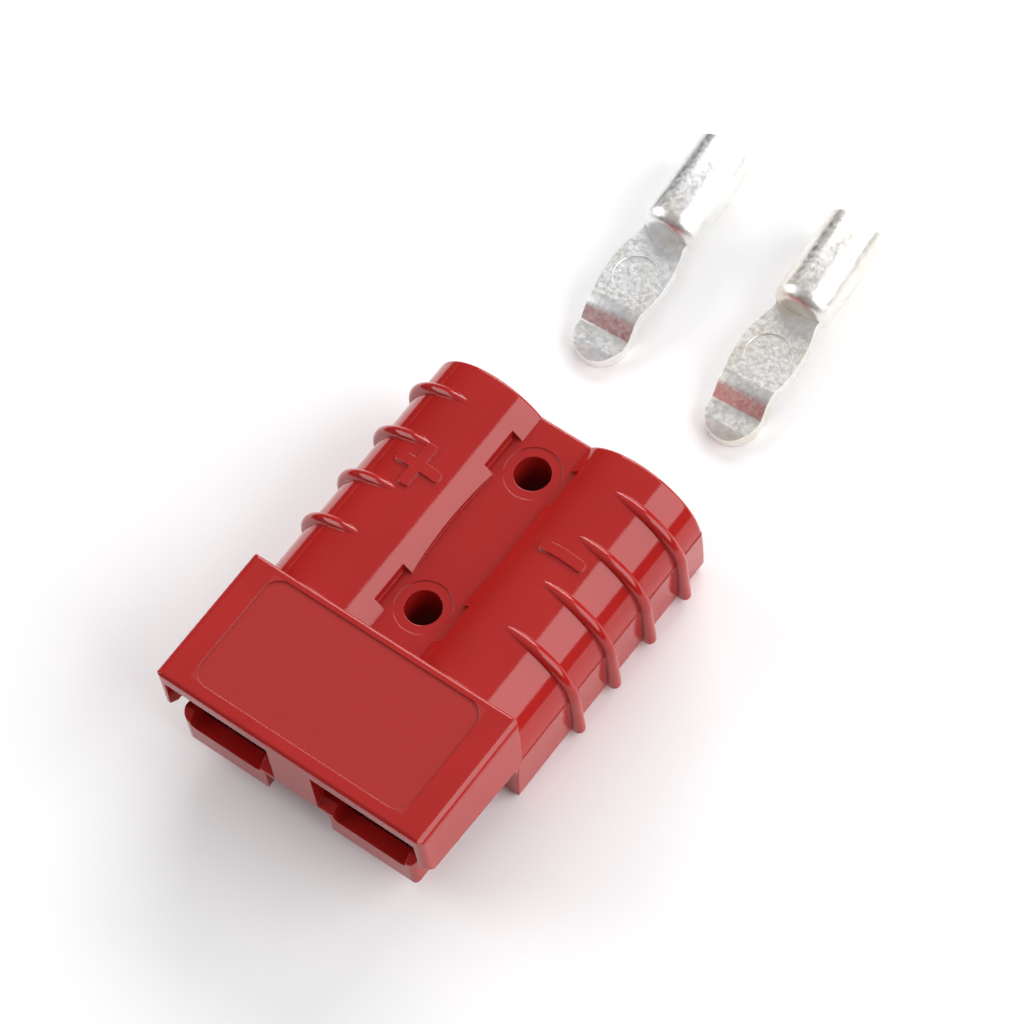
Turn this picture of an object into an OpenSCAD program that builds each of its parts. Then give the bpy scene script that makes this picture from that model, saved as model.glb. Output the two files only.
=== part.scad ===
// Genderless two-pole power connector, 50 A class: a one-piece housing, its two
// leaf springs and its two crimp contacts, laid out behind the wire end.
// +Y runs from the mating face to the wire end, +Z is up. The origin is on the
// underside, half-way between the two mounting holes.

/* [Housing] */
// Length from the mating face to the wire end
housing_l = 47.8; // [46.8:0.1:50]
// Height over the hood
housing_h = 15.9; // [15.8:0.1:16.8]
// Width of the body at its parting line
body_w = 34.8; // [34.6:0.1:35.2]
// Width of the body at its underside
body_base_w = 33.8; // [33:0.1:34.4]
// Height of the mould's parting line
parting_z = 8; // [7.8:0.05:8.2]
// Depth of the mating space, from the mating face to the body's front
mating_depth = 14.8; // [14:0.1:15.6]
// Rounding of the body's lower edges and front corners
base_edge_r = 0.9; // [0.4:0.1:1.2]
// Rounding round the rim of the wire end
rim_r = 0.4; // [0.2:0.1:0.6]

/* [Barrels] */
// Distance between the two barrel axes
barrel_pitch = 18.8; // [18.4:0.1:19]
// Outer radius of each barrel
barrel_r = 7.9; // [7.7:0.05:8]
// Height of the barrel axes
barrel_z = 7.6; // [7.5:0.05:7.8]
// Diameter of each cable entry
cable_d = 11.2; // [10:0.1:11.6]
// Depth of each cable entry
cable_depth = 16.4; // [14:0.1:17]
// Diameter of the bore round the contact's barrel
contact_bore_d = 8.6; // [8:0.1:9]

/* [Valley and mounting holes] */
// Height of the valley floor between the barrels
valley_z = 12.5; // [12.2:0.05:12.9]
// Distance between the two mounting holes
hole_pitch = 19.05; // [18.5:0.05:19.6]
// Distance of the front mounting hole from the mating face
front_hole_y = 22.65; // [22.3:0.05:23.2]
// Diameter of the mounting holes
hole_d = 4.1; // [3.6:0.1:4.4]
// Diameter of the flat spot round each hole
spot_d = 6.3; // [5.6:0.1:6.4]
// Depth of the flat spots
spot_depth = 0.1; // [0.05:0.05:0.2]
// Width over the relief notches beside each hole
notch_w = 8.7; // [8:0.1:9]
// Length of each relief notch
notch_l = 4.9; // [4:0.1:5.2]
// Width of the valley at the middle of its scalloped walls
scallop_w = 7.4; // [7:0.05:7.6]
// Radius of the scallop in each valley wall
scallop_r = 68; // [60:1:80]

/* [Hood] */
// Length of the hood
hood_l = 16.85; // [16.6:0.05:17.4]
// Width of the hood at its top
hood_w = 34.7; // [34.5:0.1:35]
// Thickness of the hood's top plate
plate_t = 1.85; // [1.6:0.05:2]
// Thickness of the hood's side walls at the top plate
hood_wall_t = 1.15; // [1:0.05:1.3]
// How much thinner each side wall is at its lower edge
hood_wall_draft = 0.2; // [0:0.05:0.3]
// Lean of the hood's rear face over its height
hood_rear_lean = 1.05; // [0.6:0.05:1.2]
// Height of the side walls' lower edge at the mating face
skirt_front_z = 8.3; // [8.1:0.05:8.5]
// Height of the side walls' lower edge at the body
skirt_rear_z = 7.4; // [7.2:0.05:7.6]
// Corner cut at the front of the side walls' lower edge
skirt_cut = 1.1; // [0.6:0.1:1.4]
// Rounding of the hood's top side edges
hood_side_r = 1.05; // [0.6:0.05:1.2]
// Rounding of the hood's top front and rear edges
hood_end_r = 0.45; // [0.3:0.05:0.6]
// Rounding of the hood's upright corners
hood_corner_r = 0.9; // [0.5:0.1:1.1]
// Length of the label recess
label_l = 14.25; // [13:0.05:14.5]
// Width of the label recess
label_w = 27.7; // [26:0.1:29]
// Distance of the label recess from the mating face
label_y = 1.6; // [1.2:0.1:1.8]
// Corner radius of the label recess
label_r = 2; // [1:0.1:2.5]
// Depth of the label recess
label_depth = 0.15; // [0.1:0.05:0.3]

/* [Tongue] */
// Width of the tongue
tongue_w = 30.7; // [30.2:0.1:30.9]
// Height of the tongue's underside
tongue_z = 3; // [2.8:0.05:3.2]
// Height of the tongue's side walls
tongue_top_z = 8.35; // [8.2:0.05:8.5]
// Lead-in at the front of the side walls
lead_in = 1; // [0.6:0.1:1.2]
// Rounding of the tongue's front corners
tongue_corner_r = 1; // [0.6:0.1:1.2]
// Rounding along the lower edges of the two feet
foot_r = 0.8; // [0.4:0.1:0.9]
// Width of the slot between the feet
slot_w = 8.35; // [8.2:0.05:8.6]
// Height of the slot's ceiling under the web
web_z = 6.9; // [6.6:0.05:7.2]
// Depth of the web and the post from the mating face
web_depth = 7; // [5:0.1:7.2]
// Width of the post that divides the mating space
post_w = 5.65; // [5:0.05:6.2]
// Distance of each contact tray from the centre line
tray_x = 4.8; // [4.7:0.05:5]
// Width of each contact tray
tray_w = 9.4; // [9:0.1:9.5]
// Height of the lip at the front of each tray
lip_z = 6.45; // [6.2:0.05:6.8]
// Length of the lip
lip_l = 2; // [1.6:0.1:2.4]
// Rounding of the lip's ends
lip_r = 0.7; // [0.3:0.1:0.9]
// Height of the tray floor behind the lip
tray_z = 4; // [3.8:0.05:4.3]

/* [Ribs] */
// Number of grip ribs on each side
rib_count = 4; // [3:1:4]
// Distance from rib to rib
rib_pitch = 6.3; // [6:0.05:6.4]
// Distance of the first rib from the mating face
rib_y = 24.6; // [24:0.1:24.8]
// Thickness of each rib
rib_t = 1.4; // [1:0.1:1.6]
// Overall width across the ribs
rib_over_w = 36.6; // [36.2:0.1:37]
// Height of the ribs' lower ends
rib_end_z = 0.4; // [0.3:0.1:1]

/* [Polarity marks] */
// Length of each mark's bars
mark_l = 5.6; // [4.8:0.1:5.8]
// Width of each mark's bars
mark_t = 1.3; // [1:0.1:1.6]
// Height of the marks over the barrels
mark_rise = 0.25; // [0.15:0.05:0.35]

/* [Springs] */
// Width of each leaf spring
spring_w = 8; // [7:0.1:8.6]
// Thickness of the leaf
spring_t = 0.5; // [0.4:0.05:0.6]
// Length of the leaf between its ends
spring_l = 15; // [12:0.1:16]
// Height of the leaf's crown over the tray floor
spring_rise = 1.9; // [1.2:0.1:2.2]
// Gap between the leaf's end and the lip
spring_gap = 0.05; // [0.02:0.01:0.1]

/* [Contacts] */
// Length of a contact
contact_l = 28.6; // [28:0.1:29.4]
// Outer diameter of the crimp barrel
crimp_d = 7; // [6.8:0.1:7.4]
// Bore of the crimp barrel
crimp_bore_d = 5.5; // [5:0.1:5.8]
// Length of the crimp barrel
crimp_l = 12.3; // [11.6:0.1:13]
// Depth of the crimp bore
crimp_depth = 11; // [10:0.1:11.2]
// Rounding of the crimp barrel's shoulder
shoulder_r = 1.6; // [1:0.1:1.8]
// Width of the neck
neck_w = 5.4; // [5:0.1:5.8]
// Width of the flat blade
blade_w = 7.2; // [6.8:0.1:7.6]
// Thickness of the blade
blade_t = 1.8; // [1.6:0.05:2]
// Height of the blade's underside
blade_z = 2; // [1.6:0.05:2.2]
// Radius of the blade's bowed sides
blade_bow_r = 16; // [12:1:24]
// Angle of the step between the tip and the blade
step_angle = 45; // [35:1:55]
// Inner radius of the step's bends
step_r = 0.5; // [0.3:0.1:0.7]
// Width of the latching tip
tip_w = 6.2; // [5.8:0.1:6.6]
// Length of the latching tip
tip_l = 4.4; // [3.8:0.1:4.8]
// How far the tip's upper face falls towards its front
tip_drop = 0.6; // [0.2:0.1:0.8]
// Length of that fall
tip_r = 1.2; // [0.8:0.1:1.6]
// Diameter of the round coin mark on the blade
coin_d = 5.2; // [4.4:0.1:5.6]
// Depth of the coin mark
coin_depth = 0.12; // [0.05:0.01:0.2]
// Distance of the crimp barrels' open ends from the wire end
contact_reach = 41.5; // [40.5:0.1:44]
// Offset of the contact row from the centre line
contact_row_x = -0.95; // [-2:0.05:2]
// Distance between the two contacts' open ends
contact_pitch = 17.7; // [17:0.1:19]
// Turn of the contacts about the upright axis
contact_turn = 3.4; // [0:0.1:6]

/* [Hidden] */
$fn = 96;
// Overlap that carries a cut or a joined form past its neighbour's face
over = 1;
// How far a corner's patch reaches past the corner
patch_back = 0.2;
// Sides of a mirrored pair
sides = [-1, 1];
origin_y = front_hole_y + hole_pitch / 2;
hole_ys = [front_hole_y, front_hole_y + hole_pitch];
body_l = housing_l - mating_depth;
barrel_x = barrel_pitch / 2;
plate_z = housing_h - plate_t;
hood_inner_w = hood_w - 2 * hood_wall_t;
skirt_inner_w = body_w - 2 * (hood_wall_t - hood_wall_draft);
foot_inner_x = slot_w / 2;
tray_centre_x = tray_x + tray_w / 2;
contact_bore_top = barrel_z + contact_bore_d / 2;
channel_top_z = contact_bore_top - 0.6;
channel_end_y = mating_depth + 4.2;
cable_front_y = housing_l - cable_depth;
rib_ring_r = barrel_r + 0.05;
rib_ring_x = rib_over_w / 2 - rib_ring_r;
mark_y = rib_y + 1.5 * rib_pitch + 0.55;

function unit(v) = v / norm(v);

// ---------- helpers ----------

// A profile drawn in x and z, carried along y
module along_y(y0, y1) {
    translate([0, y1, 0]) rotate([90, 0, 0]) linear_extrude(y1 - y0) children();
}

// A profile drawn in y and z, carried along x
module along_x(x0, x1) {
    translate([x0, 0, 0]) rotate([90, 0, 90]) linear_extrude(x1 - x0) children();
}

// A profile drawn in x and y, carried along z
module along_z(z0, z1) {
    translate([0, 0, z0]) linear_extrude(z1 - z0) children();
}

// The patch between a corner at p and the arc that rounds it; a and b point along its two edges
module corner_patch(p, a, b, r) {
    inward = (a + b) / norm(a + b);
    half = acos(a * b) / 2;
    side = r / tan(half);
    centre = p + inward * r / sin(half);
    back = -inward * patch_back;
    difference() {
        polygon([p + a * side, centre, p + b * side, p + b * side + back, p + back, p + a * side + back]);
        translate(centre) circle(r);
    }
}

// Polygon with round corners, as anticlockwise [x, y, radius] points: patches are cut off
// its outward corners and added in its inward ones
module rounded(points) {
    n = len(points);
    flat = [for (q = points) [q.x, q.y]];
    before = [for (i = [0:n - 1]) unit(flat[(i + n - 1) % n] - flat[i])];
    after = [for (i = [0:n - 1]) unit(flat[(i + 1) % n] - flat[i])];
    outward = [for (i = [0:n - 1]) cross(after[i], before[i]) > 0];
    difference() {
        union() {
            polygon(flat);
            for (i = [0:n - 1]) if (points[i].z > 0 && !outward[i])
                corner_patch(flat[i], before[i], after[i], points[i].z);
        }
        for (i = [0:n - 1]) if (points[i].z > 0 && outward[i])
            corner_patch(flat[i], before[i], after[i], points[i].z);
    }
}

// Upright rectangle with one rounding for its lower corners and one for its upper ones
module rounded_box(x0, y0, x1, y1, low_r, high_r) {
    rounded([[x0, y0, low_r], [x1, y0, low_r], [x1, y1, high_r], [x0, y1, high_r]]);
}

// Disc or cylinder lying along y, with its far rim rounded
module lying_barrel(r, y0, y1, rim) {
    translate([0, y0, 0]) rotate([-90, 0, 0]) rotate_extrude()
        rounded([[0, 0, 0], [r, 0, 0], [r, y1 - y0, rim], [0, y1 - y0, 0]]);
}

// ---------- housing ----------

// Lower half of the body, drafted from the parting line to the underside
module body_base() {
    intersection() {
        along_y(mating_depth, housing_l) rounded([
            [-body_base_w / 2, 0, base_edge_r], [body_base_w / 2, 0, base_edge_r],
            [body_w / 2, parting_z, 0], [-body_w / 2, parting_z, 0]
        ]);
        along_x(-body_w, body_w)
            rounded_box(mating_depth, 0, housing_l, parting_z, base_edge_r, 0);
        along_z(0, parting_z)
            rounded_box(-body_w / 2, mating_depth, body_w / 2, housing_l, base_edge_r, rim_r);
    }
}

// The two round barrels and the flat valley between them
module barrels() {
    intersection() {
        for (s = sides) translate([s * barrel_x, 0, barrel_z])
            lying_barrel(barrel_r, mating_depth, housing_l, rim_r);
        along_z(parting_z / 2, housing_h)
            translate([-body_w, 0]) square([2 * body_w, housing_l + over]);
    }
    along_x(-barrel_x, barrel_x) rounded([
        [mating_depth, parting_z / 2, 0], [housing_l, parting_z / 2, 0],
        [housing_l, valley_z, rim_r], [mating_depth, valley_z, 0]
    ]);
}

// One grip rib: an eccentric ring that grows out of the barrel, then runs down its side
module rib() {
    r = rib_t / 2;
    end_z = rib_end_z + r;
    stem_x = rib_over_w / 2 - r;
    intersection() {
        translate([rib_ring_x, 0, barrel_z]) rotate([90, 0, 0]) rotate_extrude() {
            translate([0, -r]) square([rib_ring_r - r, rib_t]);
            translate([rib_ring_r - r, 0]) intersection() {
                circle(r);
                translate([-r / 2, -r]) square([2 * r, 2 * r]);
            }
        }
        along_z(barrel_z, housing_h) translate([0, -r]) square([rib_over_w, rib_t]);
    }
    along_z(end_z, barrel_z) {
        translate([stem_x, 0]) circle(r);
        translate([barrel_x, -r]) square([stem_x - barrel_x, rib_t]);
    }
    translate([stem_x, 0, end_z]) sphere(r);
    translate([barrel_x, 0, end_z]) rotate([0, 90, 0]) cylinder(r = r, h = stem_x - barrel_x);
}

module ribs() {
    for (i = [0:rib_count - 1]) translate([0, rib_y + i * rib_pitch, 0]) {
        rib();
        mirror([1, 0, 0]) rib();
    }
}

// Raised bars that follow the barrel, one along x and, for the plus, one along y
module mark(plus) {
    r = mark_t / 3;
    intersection() {
        translate([0, 0, barrel_z]) lying_barrel(barrel_r + mark_rise, rib_y, housing_l - over, rim_r);
        translate([0, mark_y, 0]) along_z(valley_z, housing_h) {
            rounded_box(-mark_l / 2, -mark_t / 2, mark_l / 2, mark_t / 2, r, r);
            if (plus) rounded_box(-mark_t / 2, -mark_l / 2, mark_t / 2, mark_l / 2, r, r);
        }
    }
}

// Outer form of the hood: front view, side view and plan cut from one block
module hood_block() {
    intersection() {
        along_y(0, hood_l) rounded([
            [-body_w / 2, skirt_rear_z, 0], [body_w / 2, skirt_rear_z, 0],
            [hood_w / 2, housing_h, hood_side_r], [-hood_w / 2, housing_h, hood_side_r]
        ]);
        along_x(-body_w, body_w) rounded([
            [skirt_cut, skirt_front_z, 0], [mating_depth, skirt_rear_z, 0],
            [hood_l - hood_rear_lean, skirt_rear_z, 0], [hood_l, housing_h, hood_end_r],
            [0, housing_h, hood_end_r], [0, skirt_front_z + skirt_cut, 0]
        ]);
        along_z(skirt_rear_z, housing_h)
            rounded_box(-body_w / 2, 0, body_w / 2, hood_l, hood_corner_r, hood_corner_r);
    }
}

// Space under the hood, open to the front and below
module mating_space() {
    along_y(-over, mating_depth) polygon([
        [-skirt_inner_w / 2, skirt_rear_z - over], [skirt_inner_w / 2, skirt_rear_z - over],
        [hood_inner_w / 2, plate_z], [-hood_inner_w / 2, plate_z]
    ]);
}

module label_recess() {
    along_z(housing_h - label_depth, housing_h + over)
        rounded_box(-label_w / 2, label_y, label_w / 2, label_y + label_l, label_r, label_r);
}

// Tongue below the mating plane, with two feet, a web between them and the post
module tongue() {
    rear_y = mating_depth + over;
    difference() {
        intersection() {
            along_y(0, rear_y) rounded([
                [-tongue_w / 2, tongue_z, foot_r], [-foot_inner_x, tongue_z, foot_r],
                [-foot_inner_x, web_z, 0], [foot_inner_x, web_z, 0],
                [foot_inner_x, tongue_z, foot_r], [tongue_w / 2, tongue_z, foot_r],
                [tongue_w / 2, tongue_top_z, 0], [-tongue_w / 2, tongue_top_z, 0]
            ]);
            along_x(-tongue_w, tongue_w) rounded([
                [0, tongue_z, rim_r], [rear_y, tongue_z, 0], [rear_y, tongue_top_z, 0],
                [lead_in, tongue_top_z, 0], [0, tongue_top_z - lead_in, 0]
            ]);
            along_z(tongue_z, tongue_top_z)
                rounded_box(-tongue_w / 2, 0, tongue_w / 2, rear_y, tongue_corner_r, 0);
        }
        along_y(web_depth, mating_depth)
            translate([-foot_inner_x, 0]) square([slot_w, housing_h]);
    }
    along_y(0, web_depth)
        translate([-post_w / 2, web_z]) square([post_w, plate_z + plate_t / 2 - web_z]);
}

// Everything hollowed out for one pole: tray, channel, contact bore and cable entry
module pole_space() {
    translate([tray_x, 0, 0]) {
        along_y(-over, channel_end_y)
            rounded_box(0, lip_z, tray_w, channel_top_z, lip_r, lip_r);
        along_y(lip_l, channel_end_y)
            translate([0, tray_z]) square([tray_w, lip_z + over - tray_z]);
    }
    translate([barrel_x, 0, barrel_z]) {
        lying_barrel(contact_bore_d / 2, mating_depth - over, cable_front_y + over, rim_r);
        lying_barrel(cable_d / 2, cable_front_y, housing_l + over, rim_r);
    }
}

// Mounting holes, their flat spots, and the relief notches in the valley's walls
module valley_cuts() {
    for (y = hole_ys) translate([0, y, 0]) {
        translate([0, 0, -over]) cylinder(d = hole_d, h = housing_h + over);
        translate([0, 0, valley_z - spot_depth]) cylinder(d = spot_d, h = over);
        along_z(valley_z, housing_h) square([notch_w, notch_l], center = true);
    }
    between_l = hole_pitch - notch_l;
    along_z(valley_z, housing_h) intersection() {
        intersection_for (s = sides)
            translate([s * (scallop_r - scallop_w / 2), origin_y]) circle(scallop_r);
        translate([-notch_w / 2, origin_y - between_l / 2]) square([notch_w, between_l]);
    }
}

module housing() {
    color("firebrick") difference() {
        union() {
            body_base();
            barrels();
            ribs();
            translate([-barrel_x, 0, 0]) mark(true);
            translate([barrel_x, 0, 0]) mark(false);
            difference() {
                hood_block();
                mating_space();
            }
            tongue();
        }
        label_recess();
        for (s = sides) scale([s, 1, 1]) pole_space();
        valley_cuts();
    }
}

// ---------- springs ----------

// Bowed leaf spring in one tray, standing on its two ends
module spring(side) {
    bow_r = spring_l * spring_l / (8 * spring_rise) + spring_rise / 2;
    color("silver")
        translate([side * tray_centre_x, lip_l + spring_gap + spring_l / 2, tray_z])
        along_x(-spring_w / 2, spring_w / 2) intersection() {
            translate([0, spring_rise - bow_r]) difference() {
                circle(bow_r);
                circle(bow_r - spring_t);
            }
            translate([-spring_l, 0]) square([2 * spring_l, spring_rise + over]);
        }
}

// ---------- contacts ----------

// Side view of the blade: latching tip, step up, flat blade that runs into the crimp
module blade_side() {
    shift = blade_t * tan(step_angle / 2);
    step_l = blade_z / tan(step_angle);
    rear_y = contact_l - crimp_depth;
    rounded([
        [0, 0, 0], [tip_l, 0, step_r + blade_t], [tip_l + step_l, blade_z, step_r],
        [rear_y, blade_z, 0], [rear_y, blade_z + blade_t, 0],
        [tip_l + step_l - shift, blade_z + blade_t, step_r + blade_t],
        [tip_l - shift, blade_t, step_r], [tip_r, blade_t, tip_r], [0, blade_t - tip_drop, 0]
    ]);
}

// Plan of the blade, with bowed sides that close in to the neck
module blade_plan() {
    crimp_y = contact_l - crimp_l;
    mid_y = (tip_l + crimp_y) / 2;
    translate([0, tip_w / 2]) circle(d = tip_w);
    translate([-tip_w / 2, tip_w / 2]) square([tip_w, mid_y - tip_w / 2]);
    intersection() {
        intersection_for (s = sides)
            translate([s * (blade_bow_r - blade_w / 2), mid_y]) circle(blade_bow_r);
        translate([-blade_w / 2, tip_l]) square([blade_w, crimp_y - tip_l]);
    }
    translate([-neck_w / 2, mid_y]) square([neck_w, contact_l - crimp_depth - mid_y]);
}

// One contact, lying on its crimp barrel and its tip, with the tip's front at y = 0
module contact() {
    crimp_y = contact_l - crimp_l;
    color("gainsboro") difference() {
        union() {
            intersection() {
                along_x(-blade_w, blade_w) blade_side();
                along_z(0, crimp_d) blade_plan();
            }
            translate([0, crimp_y, crimp_d / 2]) rotate([-90, 0, 0]) rotate_extrude()
                rounded([
                    [0, 0, 0], [crimp_d / 2, 0, shoulder_r], [crimp_d / 2, crimp_l, 0], [0, crimp_l, 0]
                ]);
        }
        translate([0, contact_l - crimp_depth, crimp_d / 2]) rotate([-90, 0, 0])
            cylinder(d = crimp_bore_d, h = crimp_depth + over);
        translate([0, (tip_l + crimp_y) / 2, blade_z + blade_t - coin_depth])
            cylinder(d = coin_d, h = over);
    }
}

// A contact in its place behind the housing's wire end
module laid_contact(side) {
    translate([contact_row_x + side * contact_pitch / 2, housing_l + contact_reach, 0])
        rotate(contact_turn) translate([0, -contact_l, 0]) contact();
}

// ---------- parts ----------

// From the mating face to the origin between the mounting holes
module from_origin() {
    translate([0, -origin_y, 0]) children();
}

module spring_positive() {
    from_origin() spring(-1);
}

module spring_negative() {
    from_origin() spring(1);
}

module contact_positive() {
    from_origin() laid_contact(-1);
}

module contact_negative() {
    from_origin() laid_contact(1);
}

from_origin() housing();
spring_positive();
spring_negative();
contact_positive();
contact_negative();
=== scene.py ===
# %% [markdown]
# # A genderless power connector
#
# A two-pole power connector has one moulded housing and two crimp contacts. The housing
# is glossy red plastic, and the contacts are silver-plated copper. The construction model
# already has every piece at its real size, so this file adds what the eye needs: finishes,
# softened edges on the contacts, a table, light and a camera.

import math

import bmesh
import bpy
from mathutils import Matrix, Vector


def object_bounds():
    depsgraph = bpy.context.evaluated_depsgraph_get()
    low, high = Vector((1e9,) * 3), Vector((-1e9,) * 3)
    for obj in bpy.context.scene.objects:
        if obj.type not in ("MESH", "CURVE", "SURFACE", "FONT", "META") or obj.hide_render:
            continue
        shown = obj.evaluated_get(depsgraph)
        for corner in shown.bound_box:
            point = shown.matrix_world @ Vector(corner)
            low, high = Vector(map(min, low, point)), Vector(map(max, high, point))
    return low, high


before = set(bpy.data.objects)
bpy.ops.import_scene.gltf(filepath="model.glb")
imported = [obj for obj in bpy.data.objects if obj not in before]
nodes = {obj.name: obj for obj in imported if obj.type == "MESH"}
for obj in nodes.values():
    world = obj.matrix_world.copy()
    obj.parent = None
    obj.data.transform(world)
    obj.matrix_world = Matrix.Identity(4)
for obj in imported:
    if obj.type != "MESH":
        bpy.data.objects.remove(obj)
cad_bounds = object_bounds()
MM = 0.001
print("nodes:", sorted(nodes))
print("whole object, mm:", [round((b - a) / MM, 1) for a, b in zip(*cad_bounds)])

# %% [markdown]
# ## The camera
#
# A long lens from well above flattens the object, as in a catalogue picture. The camera
# could be turned by hand, but an azimuth, an elevation and a roll round one aim point say
# the same thing in numbers that can be read and changed. The matrix columns are the
# camera's right, its up, and the way back from the object to the lens.

# %% Camera
AIM = Vector((0.94, 4.64, 12.46)) * MM
AZIMUTH = math.radians(46.58)
ELEVATION = math.radians(61.42)
ROLL = math.radians(-11.09)
DISTANCE = 495.8 * MM
LENS = 166.6


def camera_axes(azimuth, elevation, roll):
    back = Vector((
        math.sin(azimuth) * math.cos(elevation),
        -math.cos(azimuth) * math.cos(elevation),
        math.sin(elevation),
    ))
    right = Vector((math.cos(azimuth), math.sin(azimuth), 0))
    up = back.cross(right)
    turned_right = right * math.cos(roll) + up * math.sin(roll)
    turned_up = up * math.cos(roll) - right * math.sin(roll)
    return turned_right, turned_up, back


def add_camera():
    right, up, back = camera_axes(AZIMUTH, ELEVATION, ROLL)
    camera_data = bpy.data.cameras.new("camera")
    camera_data.lens = LENS
    camera_data.sensor_width = 36
    camera_data.clip_start = 0.01
    camera = bpy.data.objects.new("camera", camera_data)
    turn = Matrix((right, up, back)).transposed()
    camera.matrix_world = Matrix.LocRotScale(AIM + back * DISTANCE, turn, None)
    bpy.context.scene.collection.objects.link(camera)
    bpy.context.scene.camera = camera
    return camera


camera = add_camera()
print("camera at, mm:", [round(v / MM) for v in camera.matrix_world.translation])

# %% [markdown]
# ## Shader maths as Python
#
# Node trees are hard to read as code. `Value` wraps one output socket, and its operators add
# Math nodes, so a pattern reads as the formula that it is. Everything that isn't a plain sum
# or product comes from one method, `node`, which materials and the world share. Lengths are
# in metres, so a noise scale of 1000 gives patches of about a millimetre.

# %% A socket that can be calculated with
class Value:
    def __init__(self, shader, socket):
        self.shader = shader
        self.socket = socket

    def math(self, operation, *others):
        inputs = [self, *others]
        return self.shader.node("Math", {"operation": operation}, inputs)

    def __add__(self, other):
        return self.math("ADD", other)

    def __sub__(self, other):
        return self.math("SUBTRACT", other)

    def __mul__(self, other):
        return self.math("MULTIPLY", other)

    def __rsub__(self, other):
        return self.shader.node("Math", {"operation": "SUBTRACT"}, [other, self])

    __radd__ = __add__
    __rmul__ = __mul__

    def smooth(self, low, high):
        """0 below low, 1 above high, and an even curve between them."""
        settings = {"interpolation_type": "SMOOTHSTEP"}
        inputs = {"Value": self, "From Min": low, "From Max": high}
        return self.shader.node("MapRange", settings, inputs)


class NodeTree:
    """The nodes of one material or of the world."""

    def __init__(self, tree):
        self.tree = tree

    def node(self, kind, settings, inputs, output=0):
        """Adds a ShaderNode of that kind and returns one of its outputs as a Value."""
        new = self.tree.nodes.new("ShaderNode" + kind)
        for key, value in settings.items():
            if key == "stops":
                self.set_stops(new.color_ramp, value)
            else:
                setattr(new, key, value)
        pairs = inputs.items() if isinstance(inputs, dict) else enumerate(inputs)
        for key, value in pairs:
            self.plug(new.inputs[key], value)
        return Value(self, new.outputs[output])

    def set_stops(self, ramp, stops):
        for element, (position, colour) in zip(ramp.elements, stops):
            element.position = position
            element.color = (*colour, 1)

    def plug(self, socket, value):
        if isinstance(value, Value):
            self.tree.links.new(value.socket, socket)
        else:
            socket.default_value = value


class Shader(NodeTree):
    """A material whose patterns follow the object's own coordinates."""

    def __init__(self, name):
        self.material = bpy.data.materials.new(name)
        self.material.use_nodes = True
        super().__init__(self.material.node_tree)
        self.surface = self.tree.nodes["Principled BSDF"]
        self.place = self.node("TexCoord", {}, {}, "Object")

    def set(self, **inputs):
        """Sets the surface's own sockets: Base_Color=... stands for Base Color."""
        for key, value in inputs.items():
            self.plug(self.surface.inputs[key.replace("_", " ")], value)

    def noise(self, scale, detail=2, roughness=0.5, place=None):
        inputs = {
            "Vector": place or self.place, "Scale": scale, "Detail": detail, "Roughness": roughness
        }
        return self.node("TexNoise", {}, inputs)

    def blend(self, factor, first, second):
        """A colour that goes from first to second as factor goes from 0 to 1."""
        ends = [(*end, 1) if isinstance(end, tuple) else end for end in (first, second)]
        return self.node("Mix", {"data_type": "RGBA"}, {0: factor, 6: ends[0], 7: ends[1]}, 2)

    def bump(self, height, strength, distance, normal=None):
        inputs = {"Height": height, "Strength": strength, "Distance": distance}
        if normal:
            inputs["Normal"] = normal
        return self.node("Bump", {}, inputs)


print("shader helpers ready")

# %% [markdown]
# ## Red plastic
#
# The mould for the barrels is polished, so they mirror the lamps in sharp bands. The same
# red covers everything, with a very fine spark-eroded grain that shows inside the bright
# bands. The label field on the hood is a little more matt. The mould's edges are never
# knife-sharp. Bevelling the mesh would round them, but the moulding is one mesh of many
# small triangles, so a Bevel node does it instead: it turns the light at each edge by a
# fraction of a millimetre and leaves the shape alone. The grain is laid on top.

# %% Red plastic
LABEL_HALF_WIDTH = 13.85 * MM
LABEL_MIDDLE_Y = -23.45 * MM
LABEL_HALF_LENGTH = 7.12 * MM
LABEL_LOW_Z = 15 * MM
EDGE_RADIUS = 0.17 * MM
GRAIN_DEPTH = 0.012 * MM
DEEP_RED = (0.365, 0.012, 0.010)
WARM_RED = (0.40, 0.016, 0.013)
MATT_RED = (0.375, 0.021, 0.017)
POLISHED = 0.07
LABEL_MATTNESS = 0.22


def inside(value, middle, half):
    """1 where value lies within half of middle, else 0, with a narrow soft border."""
    return 1 - (value - middle).math("ABSOLUTE").smooth(half * 0.985, half * 1.015)


def make_red_plastic():
    shader = Shader("red_plastic")
    x, y, z = (shader.node("SeparateXYZ", {}, [shader.place], axis) for axis in "XYZ")
    label = inside(x, 0, LABEL_HALF_WIDTH) * inside(y, LABEL_MIDDLE_Y, LABEL_HALF_LENGTH)
    label = label * z.smooth(LABEL_LOW_Z, LABEL_LOW_Z + 0.3 * MM)
    tint = shader.noise(70, detail=3).smooth(0.3, 0.7)
    colour = shader.blend(tint, DEEP_RED, WARM_RED)
    shader.set(Base_Color=shader.blend(label, colour, MATT_RED))
    grain = shader.noise(5200, roughness=0.6)
    wear = shader.noise(240, detail=4, roughness=0.6).smooth(0.45, 0.8)
    roughness = POLISHED + grain.smooth(0.3, 0.7) * 0.05 + wear * 0.03
    shader.set(Roughness=roughness + label * LABEL_MATTNESS)
    edges = shader.node("Bevel", {"samples": 6}, {"Radius": EDGE_RADIUS})
    shader.set(Normal=shader.bump(grain, 0.16, GRAIN_DEPTH, normal=edges))
    shader.surface.inputs["IOR"].default_value = 1.5
    return shader.material


def dress(name, material):
    """Gives one construction node its finish."""
    materials = nodes[name].data.materials
    materials.clear()
    materials.append(material)


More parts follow.
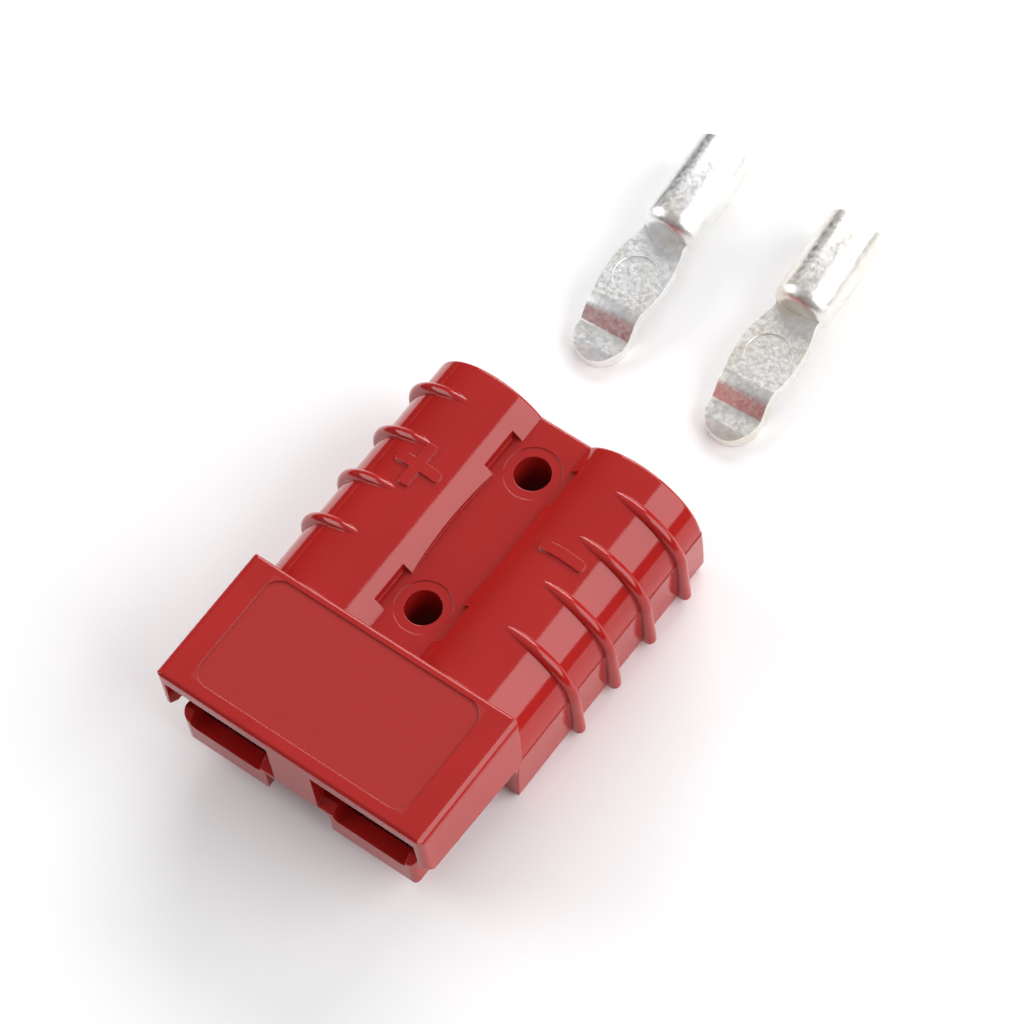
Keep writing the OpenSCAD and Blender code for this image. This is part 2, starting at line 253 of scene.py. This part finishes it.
dress("housing", make_red_plastic())
print("housing wears", nodes["housing"].data.materials[0].name)

# %% [markdown]
# ## Silver plate
#
# The contacts are formed from copper tube and plated in a tumbler, which leaves the silver
# bright but speckled with thousands of small dents. Here and there the plate is thinner,
# and a warmer tone shows. Modelled dents would need millions of faces, so two Bump nodes
# draw them, a coarse one under a fine one. One of the two contacts is a little yellower,
# as older stock is.

# %% Silver plate
BARE_COPPER_TINT = (0.60, 0.55, 0.49)
DENT_DEPTH = 0.05 * MM
HAMMER_DEPTH = 0.08 * MM


def make_silver_plate(name, clean, warm):
    shader = Shader(name)
    dents = shader.noise(1900, detail=3, roughness=0.65)
    specks = shader.noise(3400, roughness=0.7).smooth(0.56, 0.7)
    patches = shader.noise(230, detail=4, roughness=0.6).smooth(0.45, 0.7)
    silver = shader.blend(patches, clean, warm)
    shader.set(Base_Color=shader.blend(specks * patches, silver, BARE_COPPER_TINT), Metallic=1.0)
    shader.set(Roughness=0.3 + dents.smooth(0.3, 0.7) * 0.16 + specks * 0.1)
    hammered = shader.bump(shader.noise(520), 0.25, HAMMER_DEPTH)
    shader.set(Normal=shader.bump(dents, 0.42, DENT_DEPTH, normal=hammered))
    return shader.material


new_plate = make_silver_plate("silver_plate", (0.93, 0.93, 0.92), (0.90, 0.87, 0.82))
aged_plate = make_silver_plate("aged_silver_plate", (0.92, 0.90, 0.86), (0.88, 0.83, 0.74))
dress("contact_positive", new_plate)
dress("contact_negative", aged_plate)
print("contacts wear", new_plate.name, "and", aged_plate.name)

# %% [markdown]
# ## Softened corners
#
# The contacts' corners are rounded by the forming tools. A Bevel node could fake that, but
# then the outline would stay sharp, so the mesh itself is rounded. The construction mesh is
# loose triangles: Weld joins them first, and then Bevel can find the sharp edges.

# %% Soften the contacts
CONTACT_EDGE = 0.22 * MM
SHARP_ANGLE = math.radians(28)


def soften(piece, width):
    weld = piece.modifiers.new("weld", "WELD")
    weld.merge_threshold = 0.001 * MM
    bevel = piece.modifiers.new("bevel", "BEVEL")
    bevel.width = width
    bevel.segments = 3
    bevel.limit_method = "ANGLE"
    bevel.angle_limit = SHARP_ANGLE
    print(piece.name, "softened by", round(width / MM, 2), "mm")


soften(nodes["contact_positive"], CONTACT_EDGE)
soften(nodes["contact_negative"], CONTACT_EDGE)

# %% [markdown]
# ## Spring steel
#
# The leaf springs are cut from cold-rolled strip, with fine rolling lines along their
# length. Noise stretched along Y draws those lines.

# %% Spring steel
ROLLING_LINE_DEPTH = 0.01 * MM
DARK_STEEL = (0.50, 0.49, 0.47)
PALE_STEEL = (0.62, 0.61, 0.60)


def make_spring_steel():
    shader = Shader("spring_steel")
    stretched = shader.node("Mapping", {}, {"Vector": shader.place, "Scale": (1, 0.03, 1)})
    lines = shader.noise(5000, detail=3, roughness=0.6, place=stretched)
    shader.set(Base_Color=shader.blend(lines, DARK_STEEL, PALE_STEEL), Metallic=1.0)
    shader.set(Roughness=0.22 + lines.smooth(0.3, 0.7) * 0.14)
    shader.set(Normal=shader.bump(lines, 0.2, ROLLING_LINE_DEPTH))
    return shader.material


spring_steel = make_spring_steel()
dress("spring_positive", spring_steel)
dress("spring_negative", spring_steel)
print("springs wear", spring_steel.name)

# %% [markdown]
# ## The table
#
# Gloss is only as good as what it mirrors. The object lies on a plain white table. A low
# black band runs round it: it is hidden from the camera and casts no shadow, but the
# plastic mirrors it as a dark stripe between the softboxes and the table. Studios do the
# same with strips of black card.

# %% Floor
FLOOR_HALF_SIZE = 1.5
BAND_HALF_WIDTH = 58 * MM
BAND_HALF_LENGTH = 84 * MM
BAND_HEIGHT = 13 * MM
BAND_MIDDLE_Y = 12 * MM


def stage_piece(name, bm):
    """Turns a bmesh into a piece of the stage."""
    mesh = bpy.data.meshes.new(name)
    bm.to_mesh(mesh)
    bm.free()
    piece = bpy.data.objects.new(name, mesh)
    bpy.context.scene.collection.objects.link(piece)
    return piece


def add_floor():
    bm = bmesh.new()
    bmesh.ops.create_grid(bm, x_segments=1, y_segments=1, size=FLOOR_HALF_SIZE)
    floor = stage_piece("floor", bm)
    floor.location.z = cad_bounds[0][2]
    shader = Shader("white_table")
    shader.set(Base_Color=(0.97, 0.97, 0.97, 1), Roughness=0.9)
    floor.data.materials.append(shader.material)


def add_black_band():
    bm = bmesh.new()
    bmesh.ops.create_circle(bm, segments=64, radius=1)
    rim = bmesh.ops.extrude_edge_only(bm, edges=bm.edges[:])["geom"]
    raised = [v for v in rim if isinstance(v, bmesh.types.BMVert)]
    bmesh.ops.translate(bm, verts=raised, vec=(0, 0, 1))
    size = (BAND_HALF_WIDTH, BAND_HALF_LENGTH, BAND_HEIGHT)
    bmesh.ops.scale(bm, verts=bm.verts[:], vec=size)
    bmesh.ops.translate(bm, verts=bm.verts[:], vec=(0, BAND_MIDDLE_Y, 0))
    band = stage_piece("black_band", bm)
    band.visible_camera = band.visible_shadow = band.visible_diffuse = False
    shader = Shader("black_card")
    shader.set(Base_Color=(0.01, 0.01, 0.01, 1), Roughness=0.9)
    band.data.materials.append(shader.material)


add_floor()
add_black_band()
print("stage: floor and black band")

# %% [markdown]
# ## The lamps
#
# One large softbox stands to the right, one behind draws the thin lines along the edges,
# and a weak one stands to the left. Point lamps would be simpler, but glossy plastic shows
# a lamp's shape, and only a broad rectangle gives the long, soft bands of a studio.

# %% Lamps
def add_softbox(name, azimuth, elevation, size, power):
    """A lamp a metre away that faces the object, azimuth degrees round from +X."""
    lamp = bpy.data.lights.new(name, "AREA")
    lamp.shape = "RECTANGLE"
    lamp.size, lamp.size_y = size
    lamp.energy = power
    a, e = math.radians(azimuth), math.radians(elevation)
    way = Vector((math.cos(a) * math.cos(e), math.sin(a) * math.cos(e), math.sin(e)))
    box = bpy.data.objects.new(name, lamp)
    box.location = way
    box.rotation_euler = way.to_track_quat("Z", "Y").to_euler()
    bpy.context.scene.collection.objects.link(box)


add_softbox("side_softbox", azimuth=20, elevation=30, size=(1.2, 0.9), power=10.5)
add_softbox("rear_softbox", azimuth=105, elevation=26, size=(0.9, 0.5), power=8)
add_softbox("left_softbox", azimuth=195, elevation=28, size=(0.8, 0.6), power=4.5)

# %% [markdown]
# ## The studio's walls
#
# What isn't a lamp is mirrored too. A grey room would do, but walls that are dark at the
# level of the table and pale overhead keep the sides of the plastic deep and its top
# clear. The Z of the viewing direction runs through a colour ramp and gives just that.
# The Standard view transform keeps every colour about as it is written.

# %% Studio walls
DARK_WALL = (0.03, 0.03, 0.03)
PALE_CEILING = (0.42, 0.42, 0.43)


def add_world():
    """A dim studio: dark at the level of the table, pale overhead."""
    world = bpy.data.worlds.new("studio")
    bpy.context.scene.world = world
    world.use_nodes = True
    studio = NodeTree(world.node_tree)
    direction = studio.node("TexCoord", {}, {}, "Generated")
    height = studio.node("SeparateXYZ", {}, [direction], "Z")
    stops = [(0.08, DARK_WALL), (0.95, PALE_CEILING)]
    colour = studio.node("ValToRGB", {"stops": stops}, [height])
    studio.plug(world.node_tree.nodes["Background"].inputs["Color"], colour)


add_world()
bpy.context.scene.view_settings.view_transform = "Standard"
print("world:", bpy.context.scene.world.name)
